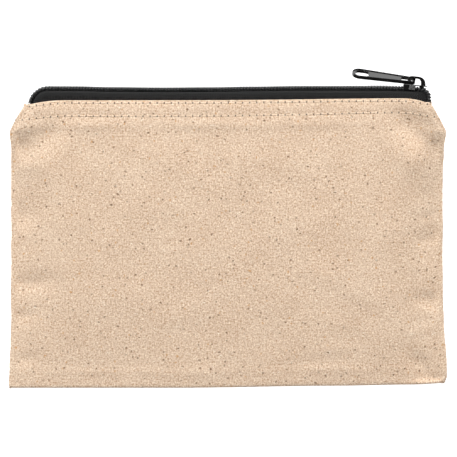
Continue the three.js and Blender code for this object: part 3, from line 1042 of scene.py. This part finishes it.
# The slider, in its own frame: X along the chain, Y away from the bag, Z towards the front.
sliderShape = {
    "x": 91.95,
    "left": -6.0,
    "right": 5.75,
    "tail": 3.7,
    "mouth": 4.75,
    "flareFrom": -3.2,
    "flareTo": 0.0,
    "wingUnder": 3.2,
    "wingTop": 3.65,
    "flangeFoot": 0.9,
    "flangeThick": 0.55,
    "lowerTop": -1.05,
    "lowerFoot": -1.75,
    "lowerHalf": 3.7,
    "lowerRight": 4.6,
    "edge": 0.08,
    "post": [(1.9, 0), (2.9, 0.5), (3.8, 0.5), (4.4, 0), (3.8, -0.5), (2.9, -0.5)],
    "tilt": 6,              # it leans towards the closed end
}
pullFrame = Matrix.Translation((
    sliderShape["x"], chain["level"] - 0.259, bag["zipMiddle"],
)) @ Matrix.Rotation(math.radians(-3), 4, "Z")
sliderPlace = pullFrame @ Matrix.Rotation(math.radians(3 - sliderShape["tilt"]), 4, "Z")


# Extrudes faces along a vector and hands back the new corners.
def extruded(bm, faces, vec):
    made = bmesh.ops.extrude_face_region(bm, geom=faces)["geom"]
    corners = [g for g in made if isinstance(g, bmesh.types.BMVert)]
    bmesh.ops.translate(bm, vec=vec, verts=corners)
    return corners


# A flat outline in the slider's own X and Z, raised from one height to another, its edges rounded.
def raised(bm, points, low, high, edge, segments=3):
    verts = [bm.verts.new((x, low, z)) for x, z in points]
    whole = set(verts)
    whole.update(extruded(bm, [bm.faces.new(verts)], (0, high - low, 0)))
    bmesh.ops.recalc_face_normals(bm, faces=[f for f in bm.faces if f.verts[0] in whole])
    edges = [e for e in bm.edges if e.verts[0] in whole and e.verts[1] in whole]
    bmesh.ops.bevel(bm, geom=edges, offset=edge, segments=segments, profile=0.5, affect="EDGES",
                    clamp_overlap=True, material=-1)


def wingOutline(tail, mouthHalf, right):
    left, flareFrom, flareTo = (sliderShape[k] for k in ("left", "flareFrom", "flareTo"))
    half = [
        (left, 0.0), (left, tail - 0.5), (left + 0.15, tail - 0.15), (left + 0.5, tail), (flareFrom, tail),
        (flareTo, mouthHalf), (right - 2, mouthHalf), (right - 0.7, mouthHalf - 0.5),
        (right, mouthHalf - 1.8), (right, 1.0), (right - 0.5, 0.0),
    ]
    return half + [(x, -z) for x, z in reversed(half[1:-1])]


def sliderBody():
    left, tail, mouth, right, edge = (sliderShape[k] for k in ("left", "tail", "mouth", "right", "edge"))
    wingUnder, lowerTop, lowerHalf = (sliderShape[k] for k in ("wingUnder", "lowerTop", "lowerHalf"))
    bm = bmesh.new()
    raised(bm, wingOutline(tail, mouth, right), wingUnder, sliderShape["wingTop"], edge)
    raised(bm, wingOutline(lowerHalf - 0.5, lowerHalf, sliderShape["lowerRight"]),
           sliderShape["lowerFoot"], lowerTop, edge)
    raised(bm, sliderShape["post"], lowerTop - 0.1, wingUnder + 0.1, 0.08, 2)
    outer = [(left + 0.1, tail), (sliderShape["flareFrom"], tail), (sliderShape["flareTo"], mouth)]
    ring = outer + [(x, z - sliderShape["flangeThick"]) for x, z in reversed(outer)]
    for end in (-1, 1):
        raised(bm, [(x, end * z) for x, z in ring], sliderShape["flangeFoot"], wingUnder + 0.2, 0.12, 2)
    finishPiece(bm, "sliderBody", enamel, "slider", ["slider_body"], sliderPlace,
                flatOver=2)


def curveThrough(start, control, end, steps=6):
    return [
        tuple((1 - t) ** 2 * a + 2 * t * (1 - t) * b + t * t * c for a, b, c in zip(start, control, end))
        for t in (i / steps for i in range(1, steps + 1))
    ]


bridgeShape = {
    "left": -4.1,
    "right": 4.95,
    "top": 7.95,
    "gapLeft": -2.4,        # the gap that the pull hangs in
    "gapRight": 2.6,
    "gapTop": 6.75,
    "half": 1.1,
    "edge": 0.3,
}


def sliderBridge():
    foot = sliderShape["wingTop"] - 0.3
    left, right, top = (bridgeShape[k] for k in ("left", "right", "top"))
    gapLeft, gapRight, gapTop = (bridgeShape[k] for k in ("gapLeft", "gapRight", "gapTop"))
    profile = [(left, foot), (left, 6.0), *curveThrough((left, 6.0), (-3.8, top), (-2.0, top)), (1.3, top),
               *curveThrough((1.3, top), (4.7, 7.6), (right, foot + 0.9)), (right, foot), (gapRight, foot),
               *curveThrough((gapRight, foot), (2.7, 6.7), (1.0, gapTop)), (-1.6, gapTop),
               *curveThrough((-1.6, gapTop), (gapLeft, 6.7), (gapLeft, 5.9)), (gapLeft, foot)]
    bm = bmesh.new()
    side = bm.faces.new([bm.verts.new((x, y, -bridgeShape["half"])) for x, y in profile])
    extruded(bm, [side], (0, 0, 2 * bridgeShape["half"]))
    bmesh.ops.recalc_face_normals(bm, faces=bm.faces)
    rims = [e for e in bm.edges if abs(e.verts[0].co.z - e.verts[1].co.z) < 0.01]
    bmesh.ops.bevel(bm, geom=rims, offset=bridgeShape["edge"], segments=4, profile=0.5, affect="EDGES",
                    clamp_overlap=True, material=-1)
    finishPiece(bm, "sliderBridge", enamel, "slider", ["slider_bridge"], sliderPlace,
                flatOver=3, outwards=True)


sliderBody()
sliderBridge()

# The pull, in a frame with its pivot at the origin and its length along -X.
pullShape = {
    "x": -0.55,
    "y": 5.9,
    "rise": 4.6,
    "roll": 30,
    "length": 31.5,
    "eye": 0.6,
    "thick": 1.45,
    "top": 0.17,
    "near": 2.4,
    "far": 3.8,
    "edge": 0.13,
    "corner": 1.7,
    "slots": [(-6.6, -0.55, 1.75, 1.2), (-29.3, -22.4, 2.6, 2.2)],     # ends, half width, corner
    "rim": 0.45,
    "rimHigh": 0.4,
}


# Points round arcs, each given by its centre, radius, start and turn in degrees, and steps.
def alongArcs(arcs):
    points = []
    for x, z, radius, start, turn, steps in arcs:
        for i in range(steps + 1):
            angle = math.radians(start + turn * i / steps)
            points.append((x + radius * math.cos(angle), z + radius * math.sin(angle)))
    return points


def slotOutline(low, high, half, corner):
    left, right, up = low + corner, high - corner, half - corner
    corners = ((right, up, 0), (left, up, 90), (left, -up, 180), (right, -up, 270))
    return alongArcs([(x, z, corner, start, 90, 5) for x, z, start in corners])


def tabOutline(shrink=0.0):
    centre = pullShape["far"] - (pullShape["length"] - pullShape["eye"])
    corner, far, near, eye = (pullShape[k] - shrink for k in ("corner", "far", "near", "eye"))
    return alongArcs([(eye - corner, near - corner, corner, 0, 90, 5), (centre, 0, far, 90, 180, 16),
                      (eye - corner, corner - near, corner, 270, 90, 5)])


# A flat plate filled between its outlines, thickened, and its rims rounded.
def plate(bm, outlines, low, high, edge):
    flat = bmesh.new()
    for points in outlines:
        ring = [flat.verts.new((x, low, z)) for x, z in points]
        for a, b in zip(ring, ring[1:] + ring[:1]):
            flat.edges.new((a, b))
    bmesh.ops.triangle_fill(flat, edges=flat.edges, use_beauty=True)
    extruded(flat, flat.faces, (0, high - low, 0))
    bmesh.ops.recalc_face_normals(flat, faces=flat.faces)
    bmesh.ops.dissolve_limit(flat, angle_limit=math.radians(1), verts=flat.verts, edges=flat.edges)
    level = [e for e in flat.edges if abs(e.verts[0].co.y - e.verts[1].co.y) < 0.01]
    rims = [e for e in level if len(e.link_faces) == 2 and e.calc_face_angle(0) > 0.8]
    bmesh.ops.bevel(flat, geom=rims, offset=edge, segments=3, profile=0.5, affect="EDGES",
                    clamp_overlap=True, material=-1)
    made = bpy.data.meshes.new("plate")
    flat.to_mesh(made)
    flat.free()
    bm.from_mesh(made)
    bpy.data.meshes.remove(made)


# The tab with its eye and its finger slot, and the low rim round its face.
def pullTab():
    top, edge = pullShape["top"], pullShape["edge"]
    bm = bmesh.new()
    slots = [slotOutline(*slot) for slot in pullShape["slots"]]
    plate(bm, [tabOutline(), *slots], top - pullShape["thick"], top, edge)
    plate(bm, [tabOutline(), tabOutline(pullShape["rim"])], top - 0.1, top + pullShape["rimHigh"], 0.1)
    place = pullFrame @ Matrix.Translation((pullShape["x"], pullShape["y"], 0))
    place = place @ Matrix.Rotation(math.radians(-pullShape["rise"]), 4, "Z")
    place = place @ Matrix.Rotation(math.radians(pullShape["roll"]), 4, "X")
    finishPiece(bm, "pullTab", enamel, "pull", ["pull_tab"], place,
                flatOver=3, outwards=True)


pullTab()
print("slider and pull made")

# Floor, light and camera.
studio = {
    "world": 0.12,
    "floorGlow": 0.85,
    "floorGrey": 0.6,
    "lens": 500,
    "distance": 3.1375,
    "aim": (0.0001, 0.0075),
}
lights = {                  # power, size, place
    "key": (56, 0.8, (-0.13, 1.63, 1.28)),
    "leftFill": (2.9, 0.34, (-0.6, -0.02, 0.85)),
    "rightFill": (2.9, 0.45, (0.62, -0.02, 0.85)),
}

world = bpy.data.worlds.new("studio")
world.use_nodes = True
world.node_tree.nodes["Background"].inputs["Color"].default_value = (1, 1, 1, 1)
world.node_tree.nodes["Background"].inputs["Strength"].default_value = studio["world"]
bpy.context.scene.world = world

floorMaterial, _, floorShader = newMaterial("white paper", Roughness=0.9)
floorShader.inputs["Base Color"].default_value = grey(studio["floorGrey"])
floorShader.inputs["Emission Color"].default_value = grey(1)
floorShader.inputs["Emission Strength"].default_value = studio["floorGlow"]
bm = bmesh.new()
bmesh.ops.create_grid(bm, x_segments=2, y_segments=2, size=3)
floorMesh = bpy.data.meshes.new("floor")
bm.to_mesh(floorMesh)
bm.free()
floorMesh.materials.append(floorMaterial)
floor = bpy.data.objects.new("floor", floorMesh)
floor.location.z = -0.0001
bpy.context.scene.collection.objects.link(floor)

for name, (power, size, place) in lights.items():
    light = bpy.data.lights.new(name, "AREA")
    light.energy = power
    light.size = size
    lamp = bpy.data.objects.new(name, light)
    lamp.location = place
    lamp.rotation_euler = (-Vector(place)).to_track_quat("-Z", "Y").to_euler()
    bpy.context.scene.collection.objects.link(lamp)

cameraData = bpy.data.cameras.new("camera")
cameraData.lens = studio["lens"]
cameraData.clip_start = 0.01
cameraData.clip_end = 20
camera = bpy.data.objects.new("camera", cameraData)
camera.location = (*studio["aim"], studio["distance"])
bpy.context.scene.collection.objects.link(camera)
bpy.context.scene.camera = camera
bpy.context.scene.view_settings.view_transform = "Standard"
print("studio made")
